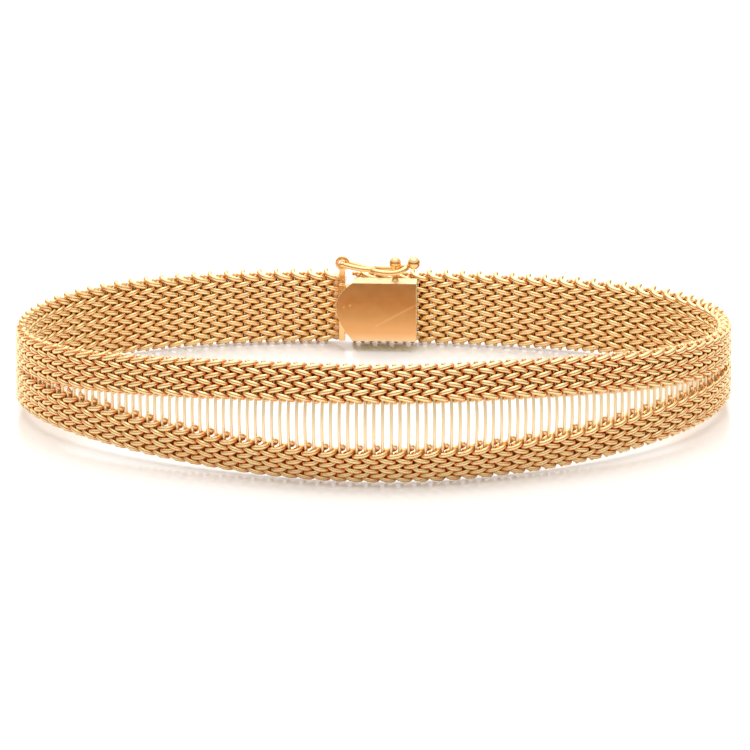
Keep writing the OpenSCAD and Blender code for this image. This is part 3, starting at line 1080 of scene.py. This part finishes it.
class BRACELET_OT_safety(bpy.types.Operator):
    """Bend the figure-eight safety wire and its finger ball"""

    bl_idname = "bracelet.safety"
    bl_label = "Safety wire"

    def execute(self, context):
        clasp = settings().clasp
        radius, sides, fork_steps, loop_steps = clasp.wire_d / 2, 16, 40, 64
        fork_long = clasp.pinch_x - clasp.hinge_x + radius / 2
        right = clasp.finger_x - clasp.finger_ball_d / 2
        middle, half_long = (clasp.pinch_x + right) / 2, (right - clasp.pinch_x) / 2

        def around(angle, centre, long, wide):
            x = centre + long * math.sin(angle)
            return Vector((x, wide * math.cos(angle), safety_height(clasp, x)))

        fork = [
            around(math.pi * i / fork_steps, clasp.hinge_x, fork_long, clasp.fork_half)
            for i in range(fork_steps + 1)
        ]
        loop = [
            around(2 * math.pi * i / loop_steps, middle, half_long, clasp.loop_half)
            for i in range(loop_steps)
        ]
        shape = bmesh.new()
        add_wire(shape, fork, radius, sides, False)
        add_wire(shape, loop, radius, sides, True)
        half, knuckle = clasp.fork_half, radius * 1.1
        end = [(0, half + knuckle), (radius * 0.8, half + radius), (knuckle, half), (radius, half - radius)]
        pin = [(wide, -high) for wide, high in end] + end[::-1]
        hinge = Matrix.Translation((clasp.hinge_x, 0, clasp.hinge_z))
        add_turned(shape, pin, hinge @ Matrix.Rotation(math.pi / 2, 4, "X"), sides=24)
        ball = [(0, -clasp.finger_ball_d / 2)] + ball_outline(clasp.finger_ball_d / 2, start=0.2)
        add_turned(shape, ball, Matrix.Translation((clasp.finger_x, 0, clasp.stud_z)))
        place = clasp_place() @ Matrix.Translation((0, clasp.box_middle, 0))
        wire = piece_from_bmesh("safety_wire", shape, finish_named("Polished_gold"), place)
        keep(wire, "safety", "safety_lever")
        return {"FINISHED"}


FLOOR_CLOUDS = 6.0
FLOOR_ROUGHNESS, CLOUD_ROUGHNESS = 0.12, 0.05


def lay_floor(side, tone):
    """A plain square floor with a faint sheen."""
    tree = new_material("Floor_white")
    place = add_node(tree, "ShaderNodeTexCoord").outputs["Object"]
    cloud = add_node(tree, "ShaderNodeTexNoise", Vector=place, Scale=FLOOR_CLOUDS)
    rough = Num(tree, cloud.outputs[0]) * CLOUD_ROUGHNESS + FLOOR_ROUGHNESS
    surface = add_node(tree, "ShaderNodeBsdfPrincipled", Base_Color=tone, Roughness=rough)
    add_node(tree, "ShaderNodeOutputMaterial", Surface=surface.outputs["BSDF"])
    spread_nodes(tree)
    half = side / 2
    corners = [(-half, -half, 0), (half, -half, 0), (half, half, 0), (-half, half, 0)]
    mesh = bpy.data.meshes.new("Floor")
    mesh.from_pydata(corners, [], [(0, 1, 2, 3)])
    mesh.materials.append(bpy.data.materials["Floor_white"])
    add_object("Floor", mesh)


def hang_light(side, power):
    """A square soft light above, aimed at the bracelet."""
    light = bpy.data.lights.new("Top_light", "AREA")
    light.shape = "SQUARE"
    light.size = side
    light.energy = power
    lamp = add_object("Top_light", light)
    aim = Vector(LIGHT_PLACE).to_track_quat("Z", "Y")
    lamp.matrix_world = Matrix.Translation(LIGHT_PLACE) @ aim.to_matrix().to_4x4()


def photo_camera(stage):
    """The camera of the photograph, from its distance, elevation, scale and aim."""
    camera = bpy.data.cameras.new("Photo_camera")
    camera.sensor_width = SENSOR_WIDTH
    focal_pixels = stage.pixels_per_mm / MM * stage.distance
    camera.lens = focal_pixels / PHOTO_WIDTH * SENSOR_WIDTH
    camera.clip_start = NEAR_CLIP
    eye = add_object("Photo_camera", camera)
    back = Vector((0, -math.cos(stage.elevation), math.sin(stage.elevation)))
    eye.location = Vector((stage.aim_x, stage.aim_y, stage.aim_z)) + stage.distance * back
    eye.rotation_euler = back.to_track_quat("Z", "Y").to_euler()
    bpy.context.scene.camera = eye


ROOM_WHITE = (1, 0.985, 0.96, 1)
ROOM_HEIGHTS = (0.12, 0.5)  # between which the room grows bright
ROOM_LIGHT = (0.14, 1.08)  # below them and above them
BACK_REACH = (0.1, 0.6)  # from the room's light to that of its back
BACK_LIGHT = 1.5
BACK_TURN, BACK_NARROWING = 0.18, 0.35


def studio_world():
    """A white room, bright above and behind, dim near the horizon in front and at the sides."""
    world = bpy.data.worlds.new("Studio")
    bpy.context.scene.world = world
    world.use_nodes = True
    tree = world.node_tree
    tree.nodes.clear()
    way = add_node(tree, "ShaderNodeTexCoord").outputs["Generated"]
    split = add_node(tree, "ShaderNodeSeparateXYZ", Vector=way)
    right = Num(tree, split.outputs["X"])
    turned = Num(tree, split.outputs["Y"]) - right * BACK_TURN
    backward = turned - right.maths("ABSOLUTE") * BACK_NARROWING
    above = smooth_step(tree, split.outputs["Z"], *ROOM_HEIGHTS, *ROOM_LIGHT)
    behind = smooth_step(tree, backward, *BACK_REACH, 0.0, 1.0)
    light = above * (behind * -1.0 + 1.0) + behind * BACK_LIGHT
    sky = add_node(tree, "ShaderNodeBackground", Color=ROOM_WHITE, Strength=light)
    add_node(tree, "ShaderNodeOutputWorld", Surface=sky.outputs["Background"])


class BRACELET_OT_stage(bpy.types.Operator):
    """Set the floor, the room, its soft light and the camera"""

    bl_idname = "bracelet.stage"
    bl_label = "Studio stage"

    def execute(self, context):
        stage = settings().stage
        lay_floor(stage.floor_side, tuple(settings().finish.floor_white))
        studio_world()
        hang_light(stage.light_side, stage.light_power)
        photo_camera(stage)
        context.scene.view_settings.view_transform = "Standard"
        return {"FINISHED"}


OPERATORS = (
    BRACELET_OT_strips,
    BRACELET_OT_sides,
    BRACELET_OT_cross_wires,
    BRACELET_OT_box,
    BRACELET_OT_stud,
    BRACELET_OT_safety,
    BRACELET_OT_stage,
)


class BRACELET_PT_panel(bpy.types.Panel):
    """Lists the bracelet's operators in the sidebar"""

    bl_idname = "BRACELET_PT_panel"
    bl_label = "Woven Mesh Bracelet"
    bl_space_type = "VIEW_3D"
    bl_region_type = "UI"
    bl_category = "Bracelet"

    def draw(self, context):
        for operator in OPERATORS:
            self.layout.operator(operator.bl_idname)


CLASSES = (
    LoopSizes, WeaveSizes, ClaspSizes, FinishColours, StageSizes, BraceletSettings,
    *OPERATORS, BRACELET_PT_panel,
)


def register():
    """Registers the classes and hangs the settings on the scene."""
    for kind in CLASSES:
        bpy.utils.register_class(kind)
    bpy.types.Scene.bracelet = PointerProperty(type=BraceletSettings)


def unregister():
    """Takes the settings and the classes away again."""
    del bpy.types.Scene.bracelet
    for kind in reversed(CLASSES):
        bpy.utils.unregister_class(kind)


def main():
    """Makes every piece in order."""
    register()
    bpy.ops.bracelet.strips()
    bpy.ops.bracelet.sides()
    bpy.ops.bracelet.cross_wires()
    bpy.ops.bracelet.box()
    bpy.ops.bracelet.stud()
    bpy.ops.bracelet.safety()
    bpy.ops.bracelet.stage()


if __name__ == "__main__":
    main()
